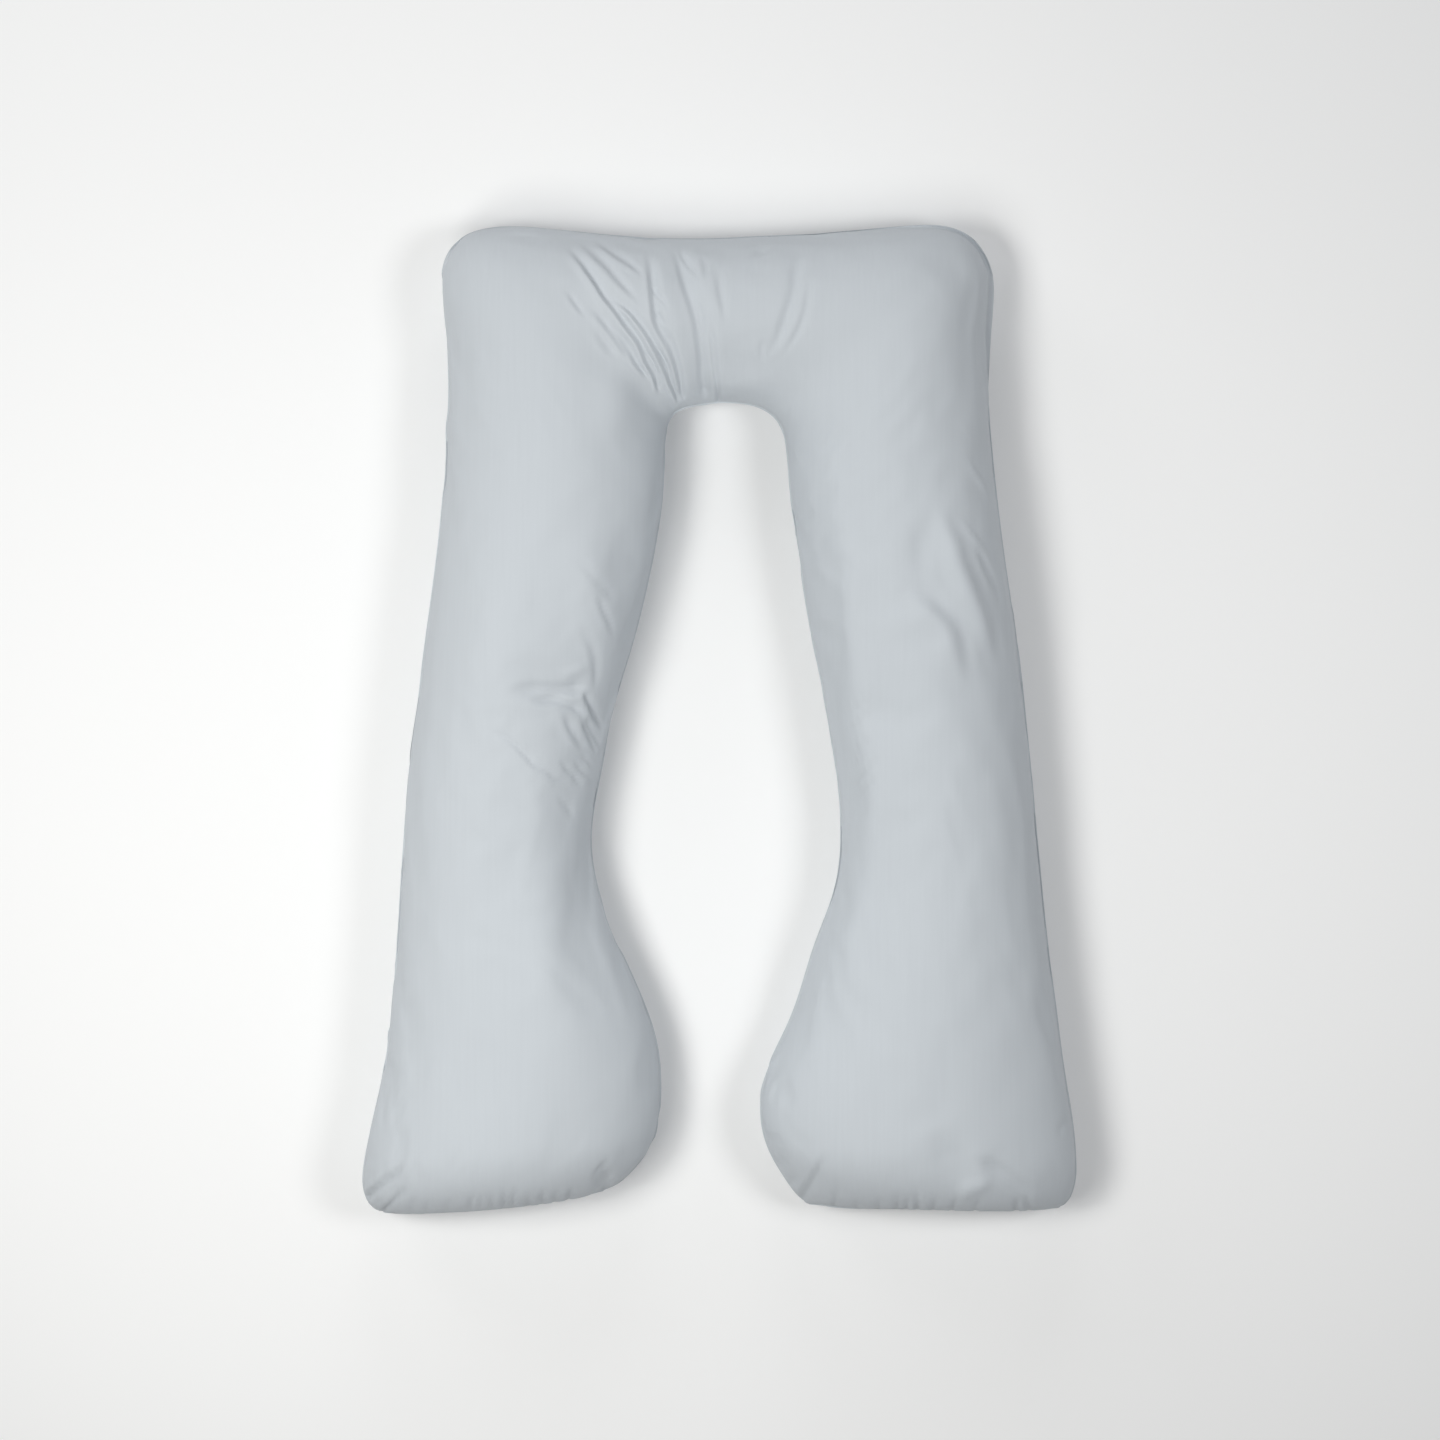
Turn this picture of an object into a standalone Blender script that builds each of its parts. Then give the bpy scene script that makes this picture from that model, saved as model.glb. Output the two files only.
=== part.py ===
"""Body pillow: a long U of two sewn cotton panels with one loose filling, lying on its back.

Metres, +Z up. The pillow rests on z = 0 with the origin under the middle of its outline. The bar that
joins the two legs is at +Y, the open feet are at -Y. Each section below crosses the stuffed tube from
its outer seam to its inner seam, and the solid is a loft through them, from one foot to the other.
"""

from collections import namedtuple

import bmesh
import bpy
import numpy as np

# Driving sizes
SEAM_SHARE = 0.43  # height of the seam over the floor, as a share of the section's thickness
END_SEAM_SHARE = 0.30  # the same at the end of each foot, where less filling holds the seam up
END_SWELL = 0.02  # share of the full height that is left in the turned edge across each foot's end
ROUNDNESS = 0.58  # 0.5 is an ellipse; a larger value pinches the sides more at the seam
CROWN_REACH = 0.115  # how far from a foot's end the crown takes to reach its full height
KEEL_REACH = 0.08  # how far from a foot's end the underside takes to reach the floor
REST_SHARE = 0.56  # share of a section's width that is pressed flat on the floor
TOP_SPANS = 22  # faces across the crown
SIDE_SPANS = 3  # faces from a seam down to the floor
REST_SPANS = 2  # faces across the flat underside

COTTON = (0.60, 0.635, 0.68, 1.0)
COTTON_ROUGHNESS = 0.85

# One row for each section. bow carries the middle of a section towards the foot's end, and spans is the
# number of faces along the tube from this section to the next, more where the cloth is folded.
Section = namedtuple("Section", "outer_x outer_y inner_x inner_y thickness bow spans")
SECTIONS = (
    # left foot
    Section(-0.509, -0.709, -0.156, -0.692, 0.205, 0.020, 3),
    Section(-0.520, -0.691, -0.127, -0.664, 0.205, 0.017, 3),
    Section(-0.524, -0.665, -0.104, -0.630, 0.207, 0.012, 3),
    Section(-0.518, -0.625, -0.091, -0.590, 0.210, 0.008, 3),
    Section(-0.505, -0.565, -0.087, -0.540, 0.212, 0.004, 2),
    Section(-0.490, -0.495, -0.091, -0.483, 0.212, 0.000, 2),
    Section(-0.481, -0.415, -0.111, -0.415, 0.210, 0.000, 3),
    # left leg, in at its waist and out over the shoulder
    Section(-0.474, -0.335, -0.146, -0.335, 0.205, 0.000, 3),
    Section(-0.469, -0.258, -0.175, -0.260, 0.200, 0.000, 3),
    Section(-0.464, -0.172, -0.189, -0.175, 0.200, 0.000, 3),
    Section(-0.457, -0.085, -0.177, -0.087, 0.203, 0.000, 5),
    Section(-0.444, 0.015, -0.154, 0.017, 0.206, 0.000, 5),
    Section(-0.430, 0.117, -0.124, 0.117, 0.210, 0.000, 4),
    Section(-0.414, 0.234, -0.098, 0.226, 0.212, 0.000, 4),
    Section(-0.403, 0.351, -0.083, 0.315, 0.212, 0.000, 3),
    Section(-0.399, 0.453, -0.080, 0.370, 0.210, 0.000, 3),
    Section(-0.401, 0.560, -0.080, 0.405, 0.205, 0.000, 3),
    # left corner and bar
    Section(-0.407, 0.635, -0.078, 0.420, 0.203, 0.000, 3),
    Section(-0.400, 0.677, -0.077, 0.427, 0.200, 0.000, 3),
    Section(-0.380, 0.704, -0.076, 0.432, 0.197, 0.000, 3),
    Section(-0.344, 0.718, -0.074, 0.437, 0.194, 0.000, 4),
    Section(-0.294, 0.722, -0.071, 0.442, 0.192, 0.000, 6),
    Section(-0.235, 0.717, -0.066, 0.448, 0.190, 0.000, 7),
    Section(-0.172, 0.710, -0.056, 0.454, 0.190, 0.000, 7),
    Section(-0.114, 0.704, -0.039, 0.459, 0.190, 0.000, 6),
    Section(-0.064, 0.701, -0.017, 0.463, 0.190, 0.000, 6),
    Section(-0.010, 0.700, 0.007, 0.465, 0.190, 0.000, 4),
    Section(0.051, 0.704, 0.030, 0.463, 0.190, 0.000, 4),
    Section(0.125, 0.710, 0.050, 0.459, 0.192, 0.000, 4),
    Section(0.200, 0.716, 0.066, 0.452, 0.194, 0.000, 4),
    Section(0.273, 0.722, 0.078, 0.443, 0.196, 0.000, 4),
    Section(0.334, 0.721, 0.087, 0.431, 0.198, 0.000, 3),
    Section(0.370, 0.704, 0.093, 0.417, 0.200, 0.000, 3),
    Section(0.391, 0.675, 0.096, 0.404, 0.203, 0.000, 3),
    Section(0.399, 0.635, 0.098, 0.388, 0.205, 0.000, 3),
    # right leg
    Section(0.395, 0.562, 0.100, 0.362, 0.208, 0.000, 3),
    Section(0.394, 0.468, 0.103, 0.328, 0.210, 0.000, 4),
    Section(0.403, 0.356, 0.110, 0.274, 0.212, 0.000, 5),
    Section(0.418, 0.236, 0.121, 0.202, 0.212, 0.000, 5),
    Section(0.434, 0.124, 0.136, 0.115, 0.210, 0.000, 4),
    Section(0.445, 0.020, 0.155, 0.018, 0.206, 0.000, 3),
    Section(0.455, -0.080, 0.170, -0.081, 0.203, 0.000, 3),
    Section(0.463, -0.165, 0.175, -0.166, 0.200, 0.000, 3),
    Section(0.471, -0.250, 0.166, -0.251, 0.200, 0.000, 3),
    Section(0.480, -0.340, 0.134, -0.340, 0.205, 0.000, 3),
    # right foot
    Section(0.492, -0.432, 0.104, -0.432, 0.210, 0.000, 3),
    Section(0.503, -0.510, 0.070, -0.507, 0.212, 0.000, 2),
    Section(0.514, -0.575, 0.058, -0.560, 0.212, 0.004, 3),
    Section(0.521, -0.628, 0.061, -0.603, 0.210, 0.008, 3),
    Section(0.524, -0.663, 0.071, -0.638, 0.207, 0.012, 3),
    Section(0.520, -0.687, 0.087, -0.671, 0.205, 0.018, 3),
    Section(0.509, -0.703, 0.110, -0.699, 0.205, 0.022, 0),
)

# One row for each fold in the crown: how far it reaches to each side of its line, and how deep it sinks
# on the line itself.
Fold = namedtuple("Fold", "name reach depth line")
FOLDS = (
    # the bundle drawn together at the left corner of the neck
    Fold("neck pleat a", 0.019, 0.008, ((-0.222, 0.695), (-0.159, 0.609), (-0.110, 0.520), (-0.090, 0.470))),
    Fold("neck pleat b", 0.018, 0.008, ((-0.170, 0.624), (-0.112, 0.560), (-0.086, 0.515), (-0.070, 0.472))),
    Fold("neck pleat c", 0.018, 0.007, ((-0.108, 0.668), (-0.098, 0.590), (-0.075, 0.535), (-0.055, 0.475))),
    Fold("neck pleat d", 0.019, 0.008, ((-0.063, 0.662), (-0.038, 0.581), (-0.023, 0.475))),
    Fold("neck pleat e", 0.016, 0.004, ((-0.010, 0.565), (-0.005, 0.475))),
    Fold("shoulder hollow", 0.036, 0.008, ((-0.225, 0.640), (-0.150, 0.555))),
    Fold("shoulder tuck", 0.024, 0.005, ((-0.199, 0.576), (-0.140, 0.515))),
    Fold("bar hollow", 0.036, 0.008, ((-0.013, 0.662), (0.004, 0.573))),
    Fold("bar trough", 0.036, 0.006, ((0.121, 0.698), (0.115, 0.635), (0.088, 0.581), (0.079, 0.510))),
    # the left leg, slack where it bends
    Fold("knee hollow", 0.045, 0.012, ((-0.330, 0.060), (-0.279, 0.048), (-0.205, 0.050))),
    Fold("knee crease a", 0.026, 0.006, ((-0.202, 0.042), (-0.190, 0.005), (-0.174, -0.033))),
    Fold("knee crease b", 0.028, 0.006, ((-0.335, -0.022), (-0.285, -0.052), (-0.209, -0.104))),
    Fold("thigh trough", 0.030, 0.005, ((-0.183, 0.207), (-0.172, 0.147), (-0.190, 0.090))),
    Fold("waist trough", 0.032, 0.006, ((-0.219, -0.262), (-0.228, -0.316))),
    # the right leg, with its crescent dent
    Fold("crescent dent", 0.036, 0.011, ((0.284, 0.185), (0.316, 0.162), (0.342, 0.122), (0.360, 0.050))),
    Fold("crescent tail", 0.028, 0.006, ((0.286, 0.283), (0.288, 0.232), (0.284, 0.185))),
    Fold("outer trough", 0.028, 0.006, ((0.323, 0.299), (0.346, 0.232), (0.365, 0.185), (0.396, 0.118))),
    Fold("inner trough", 0.034, 0.005, ((0.190, 0.194), (0.190, 0.076))),
    Fold("calf trough", 0.038, 0.006, ((0.208, -0.244), (0.176, -0.315), (0.158, -0.392), (0.115, -0.470))),
    # the feet, drawn in at their corners
    Fold("left toe tuck", 0.026, 0.008, ((-0.462, -0.648), (-0.502, -0.692))),
    Fold("left heel dent", 0.032, 0.007, ((-0.177, -0.665), (-0.185, -0.635))),
    Fold("right toe tuck", 0.026, 0.008, ((0.156, -0.635), (0.122, -0.685))),
    Fold("right heel tuck", 0.028, 0.007, ((0.398, -0.645), (0.431, -0.662), (0.449, -0.690))),
    Fold("right sole pucker", 0.024, 0.006, ((0.291, -0.655), (0.314, -0.695))),
)


def between(rows, steps):
    """Rows on a smooth curve through the given rows, with steps[i] spans from row i to the next."""
    smooth = []
    last = len(rows) - 1
    for i in range(last):
        before = rows[max(i - 1, 0)]
        start = rows[i]
        end = rows[i + 1]
        after = rows[min(i + 2, last)]
        for f in np.arange(steps[i]) / steps[i]:
            bend = 2 * before - 5 * start + 4 * end - after
            twist = 3 * start - 3 * end + after - before
            smooth.append(start + 0.5 * f * (end - before + f * (bend + f * twist)))
    smooth.append(rows[last])
    return np.array(smooth)


def swell(offset):
    """Share of the full height at an offset of 0 in the middle to 1 at the seam."""
    return np.clip(1 - np.clip(offset, 0, 1) ** 2, 0, 1) ** ROUNDNESS


def fold_drop(point):
    """How far all folds together sink the crown at this point of the plan."""
    drop = 0.0
    for fold in FOLDS:
        line = np.array(fold.line)
        start = line[:-1]
        run = line[1:] - start
        along = np.clip(((point - start) * run).sum(axis=1) / (run**2).sum(axis=1), 0, 1)
        gap = np.linalg.norm(point - start - along[:, None] * run, axis=1).min()
        drop += fold.depth * max(1 - (gap / fold.reach) ** 2, 0) ** 2
    return drop


def ring_offsets():
    """Places across a section, from -1 at the outer seam to 1 at the inner one: over the crown, and back
    underneath without the two seams."""
    even = np.linspace(-1, 1, TOP_SPANS + 1)
    crown = 0.5 * even + 0.5 * np.sin(even * np.pi / 2)
    side = REST_SHARE + (1 - REST_SHARE) * np.sin(np.linspace(1, 0, SIDE_SPANS + 1) * np.pi / 2)
    rest = np.linspace(REST_SHARE, -REST_SHARE, REST_SPANS + 1)
    underside = np.concatenate([side[1:-1], rest, -side[-2:0:-1]])
    return crown, underside


def section_points(section, inward, end_gap):
    """The ring of points round one section, over the crown from the outer seam and back underneath."""
    outer = section[0:2]
    inner = section[2:4]
    thickness = section[4]
    bow = section[5]
    crown, underside = ring_offsets()
    crown_rise = max(swell(1 - end_gap / CROWN_REACH), END_SWELL)
    keel_drop = max(swell(1 - end_gap / KEEL_REACH), END_SWELL)
    seam = thickness * (END_SEAM_SHARE + (SEAM_SHARE - END_SEAM_SHARE) * crown_rise)

    def plan(offset):
        share = (offset + 1) / 2
        return outer + (inner - outer) * share - inward * bow * (1 - offset**2)

    points = []
    for offset in crown:
        x, y = plan(offset)
        rise = swell(abs(offset)) * crown_rise
        drop = fold_drop(np.array((x, y))) * min(1, 2 * rise)
        points.append((x, y, seam + (thickness - seam) * rise - drop))
    for offset in underside:
        x, y = plan(offset)
        pressed = swell((abs(offset) - REST_SHARE) / (1 - REST_SHARE))
        points.append((x, y, seam - seam * pressed * keel_drop))
    return points


def pillow_rings():
    """A ring of points for each section, in order from the left foot to the right one."""
    rows = between(np.array(SECTIONS)[:, :6], [section.spans for section in SECTIONS])
    middle = (rows[:, 0:2] + rows[:, 2:4]) / 2
    steps = np.linalg.norm(np.diff(middle, axis=0), axis=1)
    travelled = np.concatenate([[0], np.cumsum(steps)])
    end_gaps = np.minimum(travelled, travelled[-1] - travelled)
    inwards = np.gradient(middle, axis=0)
    inwards /= np.linalg.norm(inwards, axis=1)[:, None]
    inwards[travelled > travelled[-1] / 2] *= -1
    return [section_points(*ring) for ring in zip(rows, inwards, end_gaps)]


def build_pillow(collection):
    """The closed skin: rings joined along the tube, and the narrow turned edge across each foot."""
    skin = bmesh.new()
    rings = [[skin.verts.new(point) for point in ring] for ring in pillow_rings()]
    for ring, after in zip(rings, rings[1:]):
        for i in range(len(ring)):
            skin.faces.new((ring[i - 1], ring[i], after[i], after[i - 1]))
    skin.faces.new(rings[0])
    skin.faces.new(rings[-1])
    bmesh.ops.recalc_face_normals(skin, faces=skin.faces)
    mesh = bpy.data.meshes.new("pillow")
    skin.to_mesh(mesh)
    skin.free()
    mesh.shade_smooth()
    mesh.materials.append(cotton())
    pillow = bpy.data.objects.new("pillow", mesh)
    collection.objects.link(pillow)


def cotton():
    material = bpy.data.materials.new("pale blue-grey cotton")
    material.use_nodes = True
    shader = material.node_tree.nodes["Principled BSDF"]
    shader.inputs["Base Color"].default_value = COTTON
    shader.inputs["Roughness"].default_value = COTTON_ROUGHNESS
    shader.inputs["Metallic"].default_value = 0.0
    return material


def main():
    for obj in list(bpy.data.objects):
        bpy.data.objects.remove(obj)
    collection = bpy.data.collections.new("body pillow")
    bpy.context.scene.collection.children.link(collection)
    build_pillow(collection)


main()
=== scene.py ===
"""Body pillow on a pale floor, seen from straight above.

One closed cover replaces the plain solid. Its form is the loft of nearly the same sections as the
solid's, on a much finer grid. A cloth simulation of the sewn panels, cut slightly larger than the form
and blown up by pressure, gives the small wrinkles, and the folds that show most are laid in one by one.
"""

from collections import namedtuple

import bpy
import numpy as np
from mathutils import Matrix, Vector


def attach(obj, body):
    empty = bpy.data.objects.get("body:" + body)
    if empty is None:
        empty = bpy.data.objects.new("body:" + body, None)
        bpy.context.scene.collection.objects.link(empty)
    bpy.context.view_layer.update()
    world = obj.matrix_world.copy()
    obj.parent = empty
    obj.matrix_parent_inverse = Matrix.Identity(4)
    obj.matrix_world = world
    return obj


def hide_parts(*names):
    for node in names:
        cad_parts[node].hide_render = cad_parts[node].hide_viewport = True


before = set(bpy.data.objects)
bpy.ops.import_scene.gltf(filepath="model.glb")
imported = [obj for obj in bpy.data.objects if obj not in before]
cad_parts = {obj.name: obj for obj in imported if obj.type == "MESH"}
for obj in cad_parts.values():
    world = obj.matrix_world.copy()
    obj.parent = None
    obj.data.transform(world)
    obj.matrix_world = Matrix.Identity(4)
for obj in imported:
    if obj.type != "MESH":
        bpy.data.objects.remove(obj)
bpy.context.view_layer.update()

# ---------------------------------------------------------------- the form: metres, and shares of 1
SEAM_SHARE = 0.43  # height of the seam over the floor, as a share of the section's thickness
END_SEAM_SHARE = 0.30  # the same at the end of each foot
ROUNDNESS = 0.58  # 0.5 is an ellipse; a larger value pinches the sides more at the seam
CROWN_REACH = 0.100  # how far from a foot's end the crown takes to reach its full height
CROWN_POWER = 2.2  # how squarely it gets there
KEEL_REACH = 0.08  # how far from a foot's end the underside takes to reach the floor
REST_SHARE = 0.56  # share of a section's width that is pressed flat on the floor
BOW_POWER = 4  # how squarely the end of a foot is bowed
END_STRETCH = 0.0028  # the cover's ends reach this much further than the sections say
STRETCH_REACH = 0.25  # and this is how far from an end that can still be felt

LIP_WIDTH = 0.0022  # the turned edge that stands out along the seam
LIP_HALF = 0.0008  # half its thickness
LIP_RIM = 0.8  # the cover has a line of points on either face of it, at this share of its width
LIP_END_SHARE = 0.3  # share of its thickness that it has at the very end of a foot
LIP_END_REACH = 0.2 * LIP_WIDTH  # how soon it thickens from there

# ---------------------------------------------------------------- spacing of the grid
ROW_STEP = 0.0074  # between rows of the grid, along the tube
END_STEP = 0.0006  # the same at the very end of a foot
END_COARSENING = 3  # a coarser grid's end step grows with this power of its scale
END_GROWTH = 0.22  # how fast the steps widen from the end
Spot = namedtuple("Spot", "x y reach step")
FINE_SPOTS = (  # where the rows lie closer together
    Spot(-0.110, 0.590, 0.150, 0.0024),
    Spot(-0.320, 0.010, 0.130, 0.0034),
)
CROWN_SPANS = 116  # faces across the crown
UNDER_SPANS = 16  # faces across the underside
SPACING_HALF_WIDTH = 0.16  # the section on which those faces are spaced evenly,
SPACING_RISE = 0.12  # its crown's height over the seam
SPACING_DROP = 0.09  # and its underside's depth
PATH_SAMPLES = 12001  # how many places the path through the sections is measured at
PROFILE_SAMPLES = 8001  # the same for a section's profile

Section = namedtuple("Section", "outer_x outer_y inner_x inner_y thickness bow")
SECTIONS = (
    # left foot
    Section(-0.491, -0.721, -0.178, -0.693, 0.205, 0.008),
    Section(-0.509, -0.712, -0.149, -0.679, 0.205, 0.010),
    Section(-0.520, -0.696, -0.125, -0.657, 0.205, 0.011),
    Section(-0.524, -0.668, -0.104, -0.628, 0.207, 0.010),
    Section(-0.518, -0.625, -0.091, -0.590, 0.210, 0.006),
    Section(-0.505, -0.565, -0.087, -0.540, 0.212, 0.003),
    Section(-0.490, -0.495, -0.091, -0.483, 0.212, 0.000),
    Section(-0.481, -0.415, -0.111, -0.415, 0.210, 0.000),
    # left leg, in at its waist and out over the shoulder
    Section(-0.474, -0.335, -0.146, -0.335, 0.205, 0.000),
    Section(-0.469, -0.258, -0.175, -0.260, 0.200, 0.000),
    Section(-0.464, -0.172, -0.189, -0.175, 0.200, 0.000),
    Section(-0.457, -0.085, -0.177, -0.087, 0.203, 0.000),
    Section(-0.444, 0.015, -0.154, 0.017, 0.206, 0.000),
    Section(-0.430, 0.117, -0.124, 0.117, 0.210, 0.000),
    Section(-0.414, 0.234, -0.098, 0.226, 0.212, 0.000),
    Section(-0.403, 0.351, -0.083, 0.315, 0.212, 0.000),
    Section(-0.399, 0.453, -0.080, 0.370, 0.210, 0.000),
    Section(-0.401, 0.560, -0.080, 0.405, 0.205, 0.000),
    # left corner and bar
    Section(-0.407, 0.635, -0.078, 0.420, 0.203, 0.000),
    Section(-0.400, 0.677, -0.077, 0.427, 0.200, 0.000),
    Section(-0.380, 0.704, -0.076, 0.432, 0.197, 0.000),
    Section(-0.344, 0.718, -0.074, 0.437, 0.194, 0.000),
    Section(-0.294, 0.722, -0.071, 0.442, 0.192, 0.000),
    Section(-0.235, 0.717, -0.066, 0.448, 0.190, 0.000),
    Section(-0.172, 0.710, -0.056, 0.454, 0.190, 0.000),
    Section(-0.114, 0.706, -0.039, 0.459, 0.190, 0.000),
    Section(-0.064, 0.704, -0.017, 0.463, 0.190, 0.000),
    Section(-0.010, 0.704, 0.007, 0.465, 0.190, 0.000),
    Section(0.051, 0.707, 0.030, 0.463, 0.190, 0.000),
    Section(0.125, 0.710, 0.050, 0.459, 0.192, 0.000),
    Section(0.200, 0.716, 0.066, 0.452, 0.194, 0.000),
    Section(0.273, 0.722, 0.078, 0.443, 0.196, 0.000),
    Section(0.334, 0.721, 0.087, 0.431, 0.198, 0.000),
    Section(0.370, 0.704, 0.093, 0.417, 0.200, 0.000),
    Section(0.391, 0.675, 0.096, 0.404, 0.203, 0.000),
    Section(0.399, 0.635, 0.098, 0.388, 0.205, 0.000),
    # right leg
    Section(0.395, 0.562, 0.100, 0.362, 0.208, 0.000),
    Section(0.394, 0.468, 0.103, 0.328, 0.210, 0.000),
    Section(0.403, 0.356, 0.110, 0.274, 0.212, 0.000),
    Section(0.418, 0.236, 0.121, 0.202, 0.212, 0.000),
    Section(0.434, 0.124, 0.136, 0.115, 0.210, 0.000),
    Section(0.445, 0.020, 0.155, 0.018, 0.206, 0.000),
    Section(0.455, -0.080, 0.170, -0.081, 0.203, 0.000),
    Section(0.463, -0.165, 0.175, -0.166, 0.200, 0.000),
    Section(0.471, -0.250, 0.166, -0.251, 0.200, 0.000),
    Section(0.480, -0.340, 0.134, -0.340, 0.205, 0.000),
    # right foot
    Section(0.492, -0.432, 0.104, -0.432, 0.210, 0.000),
    Section(0.503, -0.510, 0.070, -0.507, 0.212, 0.000),
    Section(0.514, -0.575, 0.058, -0.560, 0.212, 0.003),
    Section(0.521, -0.628, 0.061, -0.603, 0.210, 0.006),
    Section(0.522, -0.666, 0.075, -0.640, 0.207, 0.009),
    Section(0.517, -0.690, 0.094, -0.671, 0.205, 0.009),
    Section(0.510, -0.704, 0.111, -0.694, 0.205, 0.008),
    Section(0.498, -0.713, 0.130, -0.710, 0.205, 0.006),
)
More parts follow.
